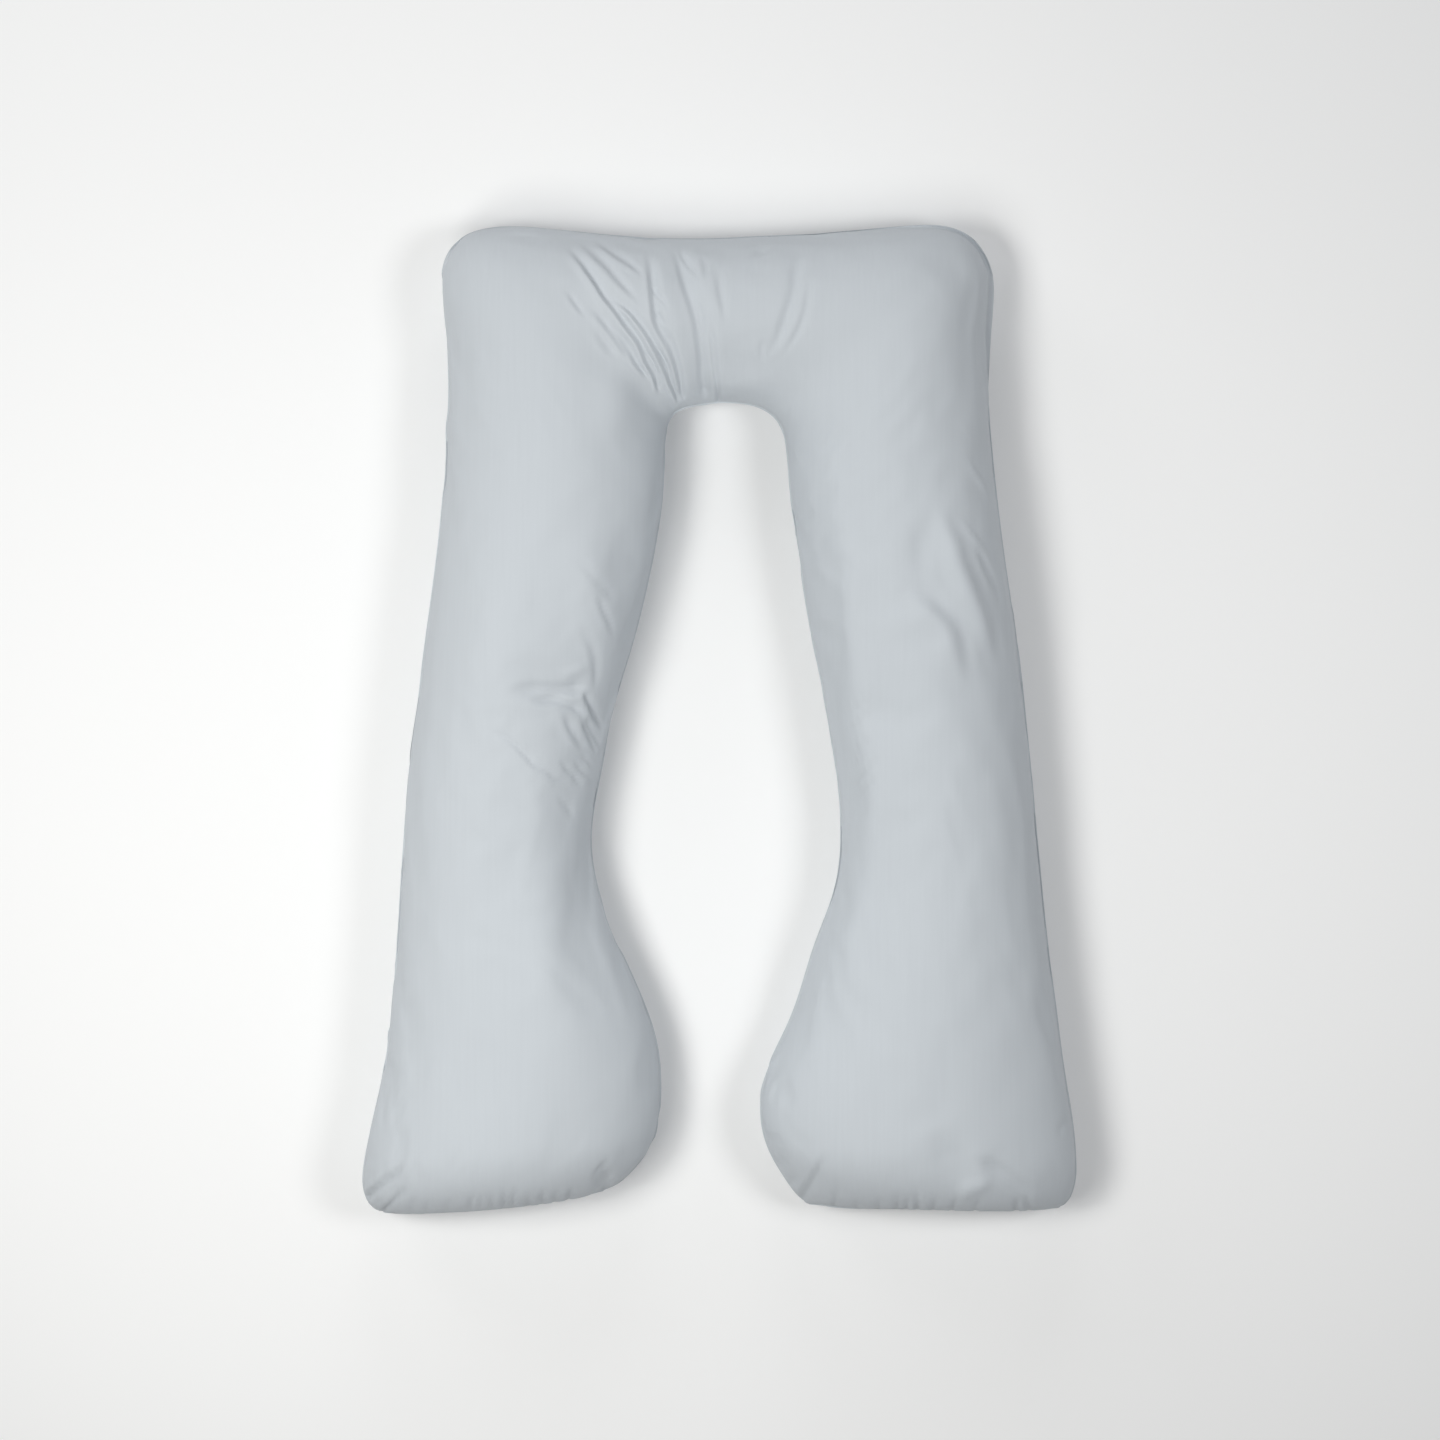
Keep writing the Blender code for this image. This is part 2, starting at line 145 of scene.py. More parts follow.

# ---------------------------------------------------------------- folds laid in one by one
# A crease is a line where the cover steps between two heights. Walking along the line, left and right
# are how far each side reaches before it is level again, left_z and right_z the height that side has on
# the line, and wall is half the width of the step between them. It rises out of the cover over the share
# fade_in of the line and sinks back over the share fade_out.
Crease = namedtuple("Crease", "left left_z right right_z wall fade_in fade_out line")
CREASES = (
    # the bundle drawn together at the left corner of the arch, each line from the arch outward
    Crease(0.016, 0.0040, 0.018, -0.0060, 0.0062, 0.05, 0.22, (
        (-0.092, 0.476), (-0.093, 0.486), (-0.095, 0.495), (-0.100, 0.508),
        (-0.108, 0.521), (-0.114, 0.536), (-0.120, 0.550), (-0.132, 0.566),
        (-0.142, 0.580), (-0.156, 0.600), (-0.172, 0.619), (-0.183, 0.637),
        (-0.196, 0.655), (-0.206, 0.669), (-0.216, 0.680), (-0.230, 0.693))),
    Crease(0.008, 0.0012, 0.009, -0.0034, 0.0032, 0.30, 0.40, (
        (-0.090, 0.497), (-0.098, 0.519), (-0.106, 0.532), (-0.113, 0.545))),
    Crease(0.012, 0.0036, 0.018, -0.0058, 0.0054, 0.05, 0.20, (
        (-0.062, 0.462), (-0.068, 0.478), (-0.074, 0.491), (-0.079, 0.505), (-0.086, 0.520),
        (-0.092, 0.534), (-0.101, 0.550), (-0.109, 0.563), (-0.120, 0.579), (-0.129, 0.590),
        (-0.139, 0.600), (-0.151, 0.609), (-0.161, 0.616), (-0.170, 0.622))),
    Crease(0.006, 0.0008, 0.008, -0.0032, 0.0028, 0.30, 0.40, (
        (-0.071, 0.500), (-0.080, 0.520), (-0.087, 0.532), (-0.095, 0.545))),
    Crease(0.014, 0.0016, 0.020, -0.0072, 0.0066, 0.05, 0.22, (
        (-0.057, 0.465), (-0.060, 0.490), (-0.064, 0.508), (-0.068, 0.522), (-0.075, 0.538),
        (-0.082, 0.552), (-0.090, 0.566), (-0.096, 0.581), (-0.099, 0.600), (-0.101, 0.620),
        (-0.103, 0.640), (-0.105, 0.660), (-0.108, 0.678), (-0.111, 0.690))),
    Crease(0.009, 0.0002, 0.010, -0.0032, 0.0036, 0.40, 0.20, (
        (-0.078, 0.598), (-0.084, 0.610), (-0.092, 0.620), (-0.100, 0.634))),
    Crease(0.007, -0.0002, 0.009, -0.0028, 0.0030, 0.40, 0.20, (
        (-0.080, 0.574), (-0.087, 0.584), (-0.096, 0.597))),
    Crease(0.012, 0.0004, 0.012, -0.0026, 0.0060, 0.40, 0.40, (
        (-0.062, 0.520), (-0.072, 0.548), (-0.078, 0.572))),
    Crease(0.030, -0.0040, 0.034, -0.0100, 0.0064, 0.08, 0.18, (
        (-0.023, 0.462), (-0.026, 0.480), (-0.029, 0.500), (-0.030, 0.520), (-0.032, 0.538),
        (-0.034, 0.552), (-0.036, 0.566), (-0.038, 0.581), (-0.043, 0.600), (-0.049, 0.619),
        (-0.055, 0.638), (-0.060, 0.658), (-0.066, 0.676), (-0.075, 0.694))),
    Crease(0.006, 0.0010, 0.008, -0.0024, 0.0028, 0.30, 0.40, (
        (-0.021, 0.545), (-0.024, 0.560), (-0.028, 0.580), (-0.032, 0.600), (-0.040, 0.620))),
    Crease(0.007, 0.0010, 0.009, -0.0034, 0.0034, 0.40, 0.30, (
        (-0.031, 0.640), (-0.036, 0.650), (-0.044, 0.662), (-0.054, 0.676), (-0.062, 0.690))),
    Crease(0.010, 0.0002, 0.013, -0.0052, 0.0040, 0.05, 0.40, (
        (-0.003, 0.464), (-0.006, 0.485), (-0.009, 0.505), (-0.011, 0.525),
        (-0.013, 0.545), (-0.016, 0.570), (-0.020, 0.592))),
    Crease(0.018, 0.0010, 0.016, -0.0036, 0.0070, 0.40, 0.40, (
        (0.007, 0.572), (0.004, 0.592), (0.000, 0.611),
        (-0.004, 0.631), (-0.007, 0.651), (-0.011, 0.670))),
    Crease(0.010, 0.0008, 0.010, -0.0026, 0.0044, 0.40, 0.40, (
        (-0.026, 0.640), (-0.024, 0.660), (-0.030, 0.682))),
    Crease(0.018, 0.0030, 0.017, -0.0042, 0.0090, 0.30, 0.30, (
        (-0.118, 0.603), (-0.129, 0.619), (-0.142, 0.632), (-0.156, 0.647),
        (-0.167, 0.660), (-0.181, 0.673), (-0.195, 0.685), (-0.210, 0.698))),
    Crease(0.014, 0.0022, 0.015, -0.0038, 0.0070, 0.30, 0.30, (
        (-0.113, 0.643), (-0.119, 0.652), (-0.129, 0.661), (-0.141, 0.669),
        (-0.153, 0.677), (-0.168, 0.688), (-0.188, 0.700))),
    Crease(0.015, 0.0018, 0.017, -0.0052, 0.0078, 0.25, 0.35, (
        (-0.127, 0.522), (-0.137, 0.534), (-0.149, 0.550), (-0.160, 0.564),
        (-0.172, 0.580), (-0.184, 0.594), (-0.196, 0.608))),
    Crease(0.010, 0.0016, 0.014, -0.0050, 0.0058, 0.20, 0.35, (
        (-0.106, 0.494), (-0.114, 0.507), (-0.124, 0.520), (-0.131, 0.534),
        (-0.140, 0.550), (-0.151, 0.566), (-0.160, 0.578))),
    Crease(0.016, 0.0010, 0.018, -0.0034, 0.0090, 0.35, 0.40, (
        (-0.152, 0.524), (-0.172, 0.550), (-0.190, 0.574))),
    Crease(0.012, 0.0012, 0.012, -0.0030, 0.0060, 0.40, 0.40, (
        (-0.196, 0.584), (-0.212, 0.606), (-0.228, 0.630))),
    # soft ones towards the right of the bar
    Crease(0.024, -0.0004, 0.020, -0.0062, 0.0090, 0.35, 0.25, (
        (0.060, 0.524), (0.073, 0.543), (0.083, 0.562), (0.090, 0.584), (0.099, 0.611),
        (0.105, 0.635), (0.107, 0.655), (0.112, 0.678), (0.114, 0.692))),
    Crease(0.014, -0.0002, 0.012, -0.0042, 0.0055, 0.40, 0.35, (
        (0.086, 0.523), (0.095, 0.540), (0.106, 0.558), (0.114, 0.574),
        (0.121, 0.592), (0.125, 0.611), (0.127, 0.635), (0.128, 0.664))),
    Crease(0.012, 0.0006, 0.012, -0.0020, 0.0050, 0.40, 0.40, (
        (0.060, 0.520), (0.057, 0.540), (0.062, 0.562))),
    # back of the left knee, each line from the inner seam outward
    Crease(0.034, -0.0100, 0.050, -0.0034, 0.0080, 0.16, 0.40, (
        (-0.193, 0.056), (-0.210, 0.052), (-0.230, 0.050), (-0.257, 0.052),
        (-0.278, 0.052), (-0.292, 0.050), (-0.304, 0.045), (-0.316, 0.037))),
    Crease(0.020, -0.0070, 0.010, 0.0010, 0.0054, 0.20, 0.35, (
        (-0.198, 0.005), (-0.203, 0.013), (-0.211, 0.022), (-0.223, 0.028),
        (-0.239, 0.033), (-0.255, 0.034), (-0.269, 0.034), (-0.284, 0.029))),
    Crease(0.010, 0.0022, 0.016, -0.0052, 0.0048, 0.20, 0.25, (
        (-0.174, -0.016), (-0.180, -0.003), (-0.187, 0.007),
        (-0.193, 0.020), (-0.198, 0.030), (-0.201, 0.046))),
    Crease(0.016, 0.0020, 0.015, -0.0040, 0.0074, 0.35, 0.35, (
        (-0.198, -0.050), (-0.207, -0.037), (-0.217, -0.023), (-0.225, -0.007), (-0.231, 0.014))),
    Crease(0.010, 0.0016, 0.010, -0.0034, 0.0042, 0.35, 0.35, (
        (-0.180, -0.054), (-0.188, -0.037), (-0.194, -0.023), (-0.199, -0.013), (-0.207, 0.012))),
    Crease(0.008, 0.0012, 0.009, -0.0032, 0.0036, 0.30, 0.30, (
        (-0.174, -0.048), (-0.180, -0.034), (-0.187, -0.020), (-0.194, -0.006), (-0.199, 0.008))),
    Crease(0.016, 0.0016, 0.016, -0.0036, 0.0076, 0.20, 0.45, (
        (-0.187, 0.046), (-0.186, 0.060), (-0.188, 0.076), (-0.190, 0.093),
        (-0.196, 0.110), (-0.203, 0.124), (-0.211, 0.140))),
    Crease(0.013, 0.0018, 0.013, -0.0034, 0.0060, 0.25, 0.40, (
        (-0.158, 0.118), (-0.164, 0.130), (-0.171, 0.145),
        (-0.176, 0.157), (-0.182, 0.173), (-0.189, 0.192))),
    Crease(0.012, 0.0014, 0.012, -0.0034, 0.0054, 0.25, 0.35, (
        (-0.151, 0.165), (-0.165, 0.180), (-0.185, 0.200), (-0.200, 0.217), (-0.216, 0.235))),
    Crease(0.010, 0.0014, 0.012, -0.0040, 0.0036, 0.20, 0.40, (
        (-0.205, -0.099), (-0.217, -0.095), (-0.233, -0.091), (-0.245, -0.087),
        (-0.253, -0.079), (-0.269, -0.071), (-0.286, -0.054), (-0.298, -0.042),
        (-0.310, -0.032), (-0.322, -0.026), (-0.338, -0.019), (-0.351, -0.014))),
    Crease(0.011, 0.0014, 0.012, -0.0032, 0.0054, 0.35, 0.35, (
        (-0.200, -0.106), (-0.217, -0.083), (-0.227, -0.073), (-0.239, -0.054))),
    Crease(0.010, 0.0010, 0.010, -0.0028, 0.0042, 0.35, 0.35, (
        (-0.184, -0.098), (-0.202, -0.078), (-0.218, -0.060))),
    Crease(0.009, 0.0008, 0.009, -0.0024, 0.0040, 0.35, 0.35, (
        (-0.184, -0.076), (-0.196, -0.062), (-0.206, -0.050))),
    Crease(0.012, 0.0010, 0.012, -0.0032, 0.0060, 0.30, 0.40, (
        (-0.214, -0.150), (-0.228, -0.128), (-0.246, -0.110))),
    # right thigh: a crescent round a fuller place, and the edge of the band beyond it
    Crease(0.058, 0.0086, 0.034, -0.0044, 0.0170, 0.45, 0.25, (
        (0.366, 0.040), (0.358, 0.067), (0.352, 0.092), (0.346, 0.116), (0.336, 0.140),
        (0.321, 0.157), (0.307, 0.169), (0.289, 0.181), (0.274, 0.194))),
    Crease(0.034, 0.0086, 0.030, -0.0014, 0.0155, 0.40, 0.30, (
        (0.412, 0.060), (0.403, 0.092), (0.394, 0.124), (0.384, 0.153),
        (0.372, 0.179), (0.362, 0.205), (0.352, 0.230), (0.346, 0.254),
        (0.338, 0.274), (0.330, 0.295), (0.322, 0.322))),
    Crease(0.012, 0.0012, 0.014, -0.0030, 0.0060, 0.30, 0.40, (
        (0.410, 0.166), (0.398, 0.190), (0.386, 0.214), (0.376, 0.238), (0.366, 0.262))),
    # thin lines of tension along the right leg
    Crease(0.005, 0.0014, 0.005, 0.0014, 0.0010, 0.50, 0.50, (
        (0.372, 0.413), (0.361, 0.426), (0.348, 0.438))),
    Crease(0.006, 0.0030, 0.006, 0.0030, 0.0010, 0.40, 0.40, (
        (0.396, 0.322), (0.385, 0.338), (0.377, 0.353), (0.365, 0.369), (0.357, 0.382))),
    Crease(0.007, 0.0024, 0.007, 0.0024, 0.0010, 0.50, 0.50, (
        (0.404, 0.209), (0.365, 0.268), (0.336, 0.302))),
    Crease(0.005, 0.0012, 0.005, 0.0012, 0.0010, 0.50, 0.50, ((0.118, 0.372), (0.107, 0.397))),
    # fine wrinkles on the inner side of the right knee
    Crease(0.008, 0.0012, 0.008, -0.0026, 0.0024, 0.30, 0.40, (
        (0.190, -0.108), (0.211, -0.079), (0.228, -0.061), (0.250, -0.046))),
    Crease(0.008, 0.0012, 0.008, -0.0024, 0.0024, 0.30, 0.40, (
        (0.200, -0.118), (0.222, -0.092), (0.244, -0.076))),
    Crease(0.008, 0.0010, 0.008, -0.0024, 0.0026, 0.30, 0.40, (
        (0.190, -0.050), (0.214, -0.030), (0.240, -0.020))),
    Crease(0.008, 0.0010, 0.008, -0.0024, 0.0026, 0.30, 0.40, (
        (0.185, -0.018), (0.206, 0.001), (0.228, 0.016))),
    Crease(0.007, 0.0008, 0.007, -0.0020, 0.0022, 0.30, 0.40, (
        (0.188, 0.010), (0.204, 0.024), (0.222, 0.034))),
    Crease(0.007, 0.0008, 0.007, -0.0018, 0.0022, 0.30, 0.40, (
        (0.192, -0.072), (0.208, -0.052), (0.222, -0.042))),
    # corners of the left foot
    Crease(0.013, 0.0024, 0.013, -0.0090, 0.0052, 0.08, 0.20, (
        (-0.535, -0.710), (-0.515, -0.692), (-0.504, -0.683),
        (-0.490, -0.671), (-0.477, -0.661), (-0.463, -0.649))),
    Crease(0.009, 0.0026, 0.010, -0.0066, 0.0046, 0.08, 0.30, (
        (-0.502, -0.724), (-0.486, -0.708), (-0.479, -0.701), (-0.468, -0.690), (-0.456, -0.679))),
    Crease(0.024, -0.0046, 0.012, -0.0010, 0.0046, 0.15, 0.40, (
        (-0.170, -0.704), (-0.166, -0.690), (-0.162, -0.678), (-0.157, -0.664), (-0.152, -0.648))),
    Crease(0.014, -0.0030, 0.008, -0.0006, 0.0042, 0.15, 0.40, (
        (-0.184, -0.708), (-0.178, -0.690), (-0.168, -0.672))),
    # corners and edges of the right foot
    Crease(0.012, 0.0028, 0.013, -0.0062, 0.0056, 0.08, 0.25, (
        (0.100, -0.722), (0.108, -0.710), (0.116, -0.697), (0.121, -0.688),
        (0.129, -0.674), (0.136, -0.662), (0.143, -0.648), (0.153, -0.631))),
    Crease(0.009, 0.0012, 0.009, -0.0030, 0.0034, 0.10, 0.40, (
        (0.162, -0.726), (0.164, -0.708), (0.166, -0.692), (0.171, -0.668))),
    Crease(0.030, -0.0048, 0.014, 0.0008, 0.0080, 0.35, 0.35, (
        (0.472, -0.688), (0.448, -0.679), (0.429, -0.664), (0.405, -0.650), (0.385, -0.640))),
    Crease(0.008, 0.0012, 0.009, -0.0040, 0.0030, 0.20, 0.40, (
        (0.064, -0.604), (0.076, -0.609), (0.092, -0.612))),
    Crease(0.008, 0.0010, 0.008, -0.0036, 0.0030, 0.20, 0.40, (
        (0.076, -0.648), (0.088, -0.645), (0.102, -0.643))),
    Crease(0.007, 0.0008, 0.007, -0.0034, 0.0026, 0.20, 0.40, (
        (0.095, -0.680), (0.102, -0.670), (0.110, -0.660))),
    Crease(0.008, 0.0010, 0.008, -0.0036, 0.0028, 0.20, 0.40, (
        (0.512, -0.583), (0.500, -0.598), (0.492, -0.608))),
    Crease(0.022, 0.0004, 0.024, -0.0036, 0.0110, 0.45, 0.45, (
        (0.352, -0.650), (0.376, -0.643), (0.398, -0.645), (0.420, -0.656), (0.440, -0.672))),
)
CREASE_START = 0.45  # how far a crease's sides reach where it starts, as a share of their full reach
CREASE_GROWTH = 1.4  # and how much more per length of its line, up to the full reach

# A pucker is a short gather along the end of a foot, from the seam at x, y up the panel.
Pucker = namedtuple("Pucker", "x y lean length depth")
PUCKERS = (
    Pucker(-0.452, -0.717, 0.010, 0.022, 0.0016),
    Pucker(-0.430, -0.717, 0.006, 0.018, 0.0014),
    Pucker(-0.398, -0.715, 0.004, 0.017, 0.0012),
    Pucker(-0.366, -0.712, 0.004, 0.022, 0.0022),
    Pucker(-0.350, -0.710, 0.003, 0.020, 0.0018),
    Pucker(-0.334, -0.709, -0.004, 0.024, 0.0024),
    Pucker(-0.316, -0.708, -0.002, 0.028, 0.0028),
    Pucker(-0.303, -0.706, 0.003, 0.030, 0.0024),
    Pucker(-0.280, -0.706, -0.004, 0.018, 0.0018),
    Pucker(-0.262, -0.704, 0.004, 0.024, 0.0024),
    Pucker(-0.242, -0.703, 0.002, 0.021, 0.0020),
    Pucker(-0.222, -0.701, 0.004, 0.023, 0.0024),
    Pucker(0.200, -0.714, 0.003, 0.020, 0.0014),
    Pucker(0.232, -0.714, 0.004, 0.024, 0.0018),
    Pucker(0.259, -0.714, 0.003, 0.030, 0.0026),
    Pucker(0.272, -0.714, 0.004, 0.028, 0.0026),
    Pucker(0.289, -0.714, -0.003, 0.038, 0.0028),
    Pucker(0.312, -0.714, 0.006, 0.024, 0.0020),
    Pucker(0.340, -0.714, 0.012, 0.024, 0.0022),
    Pucker(0.374, -0.716, 0.006, 0.020, 0.0020),
    Pucker(0.433, -0.716, 0.003, 0.022, 0.0022),
    Pucker(0.452, -0.714, -0.006, 0.022, 0.0020),
)
PUCKER_REACH = 0.0065
PUCKER_STRENGTH = 1.3  # all of them are this much deeper than listed
PUCKER_FADE = 0.7  # share of its line over which a pucker runs out

# A swelling raises the cover along a line, or sinks it if its height is negative, with a round profile
# that tapers off to both ends.
Swelling = namedtuple("Swelling", "height reach line")
SWELLINGS = (
    # bar and its corners
    Swelling(-0.0020, 0.016, ((-0.222, 0.650), (-0.202, 0.613), (-0.180, 0.590))),
    Swelling(0.0070, 0.032, ((-0.155, 0.545), (-0.150, 0.470), (-0.158, 0.390))),
    Swelling(0.0070, 0.020, ((-0.040, 0.492), (0.015, 0.494), (0.065, 0.490), (0.100, 0.480))),
    Swelling(-0.0030, 0.010, ((0.056, 0.694), (0.063, 0.678))),
    Swelling(-0.0080, 0.045, (
        (0.230, 0.715), (0.310, 0.695), (0.370, 0.640), (0.384, 0.550), (0.386, 0.460))),
    # left leg: fuller towards the inner seam, from the shoulder down to the foot
    Swelling(0.0080, 0.034, ((-0.190, 0.310), (-0.185, 0.200), (-0.180, 0.120), (-0.190, 0.030))),
    Swelling(0.0085, 0.050, ((-0.330, 0.290), (-0.330, 0.180), (-0.338, 0.060), (-0.352, -0.060))),
    Swelling(0.0030, 0.008, ((-0.236, 0.064), (-0.213, 0.070), (-0.192, 0.084))),
    Swelling(0.0095, 0.038, (
        (-0.256, -0.020), (-0.256, -0.110), (-0.257, -0.200), (-0.260, -0.280),
        (-0.259, -0.350), (-0.244, -0.420), (-0.216, -0.485), (-0.190, -0.550))),
    # right leg: a steeper inner side, and a ridge on the thigh with a hollow to its left
    Swelling(0.0090, 0.024, (
        (0.150, 0.440), (0.170, 0.320), (0.190, 0.200), (0.198, 0.100), (0.208, 0.000),
        (0.225, -0.100), (0.225, -0.200), (0.200, -0.300), (0.175, -0.400), (0.150, -0.500))),
    Swelling(-0.0032, 0.017, ((0.292, 0.310), (0.295, 0.250), (0.294, 0.205), (0.292, 0.170))),
    Swelling(0.0070, 0.034, ((0.340, 0.400), (0.352, 0.270), (0.372, 0.140), (0.380, 0.060))),
    Swelling(-0.0036, 0.028, ((0.185, 0.040), (0.225, 0.014), (0.275, 0.002), (0.325, 0.000))),
    Swelling(0.0045, 0.009, ((0.348, -0.712), (0.361, -0.688), (0.381, -0.680), (0.404, -0.664))),
    Swelling(-0.0050, 0.030, ((0.300, -0.600), (0.340, -0.650), (0.360, -0.700))),
)
SWELLING_FADE = 0.4  # share of its line over which a swelling rises, and over which it sinks
SWELLING_EDGE = 2.5  # it is left out further from its line than this many times its reach

LINE_POINTS = 32  # points of the smooth curve through a fold's line
SEAM_HEIGHT = 0.09  # about how high the seam lies over the floor
SEEN_FROM = 4.97  # how far over the seam the folds are seen from
FOLD_HOLD = 0.007  # the folds fade out over this distance from the seam

# ---------------------------------------------------------------- simulation of the sewn panels
CLOTH_SCALE = 1.9  # its rows and its ring are this much coarser than the cover's
CLOTH_FRAMES = 20
CLOTH_PRESSURE = 2.0
CLOTH_HOLD = 0.30  # how firmly the filling holds the cloth in the designed form, from 0 to 1
CLOTH_EASE = 0.006  # share by which the panels are cut larger than the form
SEAM_EASE = 0.012  # the same beside the seam
SEAM_REACH = 0.06  # how far from the seam that can be felt
CLOTH_SEED = 11
CLOTH_JITTER = 0.0004  # uneven start, so that the cloth can buckle
JITTER_LENGTH = 0.010  # about how long its waves are

WRINKLE_LENGTH = 0.034  # forms longer than about this stay as designed
WRINKLE_CAP = 0.0022  # how far a wrinkle may move the cloth
SEAM_CAP = 0.0015  # how far it may move the seam
SEAM_BAND = 0.03  # width of the strip beside the seam over which one cap gives way to the other
PANEL_SHARE = 0.5  # share of the wrinkles left in the middle of the panels
PANEL_REACH = 0.12  # how far that is from the seam
Calm = namedtuple("Calm", "x y reach")
CALM_SPOTS = (Calm(0.480, -0.600, 0.150), Calm(0.200, -0.680, 0.140))  # left smooth by the wrinkles
CROWDED = 0.25  # where rows lie closer than this share of their widest gap, no wrinkle is kept
UNCROWDED = 0.4  # it comes back in full over this share more
EVEN_STEP = 0.004  # row spacing used while smoothing
BLUR_REACH = 3  # the smoothing reaches this many times its length
TINY = 1e-9  # keeps a division by a length from failing


# ================================================================ grid of the cover
def spline(knots, values, stations):
    """Natural cubic curve through values at knots, read at stations."""
    gaps = np.diff(knots)
    size = len(knots)
    system = np.eye(size)
    pull = np.zeros_like(values)
    for i in range(1, size - 1):
        system[i, i - 1 : i + 2] = gaps[i - 1], 2 * (gaps[i - 1] + gaps[i]), gaps[i]
        turn = (values[i + 1] - values[i]) / gaps[i] - (values[i] - values[i - 1]) / gaps[i - 1]
        pull[i] = 6 * turn
    curve = np.linalg.solve(system, pull)
    left = np.clip(np.searchsorted(knots, stations, side="right") - 1, 0, size - 2)
    gap = gaps[left][:, None]
    near = ((knots[left + 1] - stations)[:, None]) / gap
    far = 1 - near
    bend = ((near**3 - near) * curve[left] + (far**3 - far) * curve[left + 1]) * gap**2 / 6
    return near * values[left] + far * values[left + 1] + bend


def step_lengths(line):
    """Distance from each point of a line to the next."""
    return np.linalg.norm(np.diff(line, axis=0), axis=1)


def running_total(steps):
    """0, then the sum of the steps so far."""
    return np.concatenate([[0], np.cumsum(steps)])


def section_rows(step_scale, fine_spots):
    """Columns outer x, y, inner x, y, thickness and bow, at every row of the grid."""
    table = np.array(SECTIONS)
    knots = running_total(step_lengths(table[:, 0:2]) + step_lengths(table[:, 2:4]))
    fine = np.linspace(0, knots[-1], PATH_SAMPLES)
    dense = spline(knots, table, fine)
    moved = np.maximum(step_lengths(dense[:, 0:2]), step_lengths(dense[:, 2:4]))
    travelled = running_total(moved)
    middle = (dense[:, 0:2] + dense[:, 2:4]) / 2
    step = np.full(len(fine), ROW_STEP)
    for spot in fine_spots:
        near = np.exp(-np.square(middle - (spot.x, spot.y)).sum(axis=1) / spot.reach**2)
        step = step + (spot.step - ROW_STEP) * near
    end_gap = np.minimum(travelled, travelled[-1] - travelled)
    end_step = END_STEP * step_scale**END_COARSENING + END_GROWTH * end_gap
    step = np.minimum(step * step_scale, end_step)
    count = running_total(moved / ((step[1:] + step[:-1]) / 2))
    stations = np.interp(np.linspace(0, count[-1], int(round(count[-1])) + 1), count, fine)
    return spline(knots, table, stations)


def swell(offset):
    """Share of the full height at an offset of 0 in the middle to 1 at the seam."""
    return np.clip(1 - np.clip(offset, 0, 1) ** 2, 0, 1) ** ROUNDNESS


def pressed(offset):
    """The same for the underside, which is flat over the middle of the section."""
    return swell((np.abs(offset) - REST_SHARE) / (1 - REST_SHARE))


def even_offsets(profile, height, spans):
    """Offsets from -1 to 1 that lie evenly along the curve of a profile."""
    fine = np.sin(np.linspace(-np.pi / 2, np.pi / 2, PROFILE_SAMPLES))
    rise = height * profile(np.abs(fine))
    arc = running_total(np.hypot(np.diff(fine) * SPACING_HALF_WIDTH, np.diff(rise)))
    return np.interp(np.linspace(0, arc[-1], spans + 1), arc, fine)


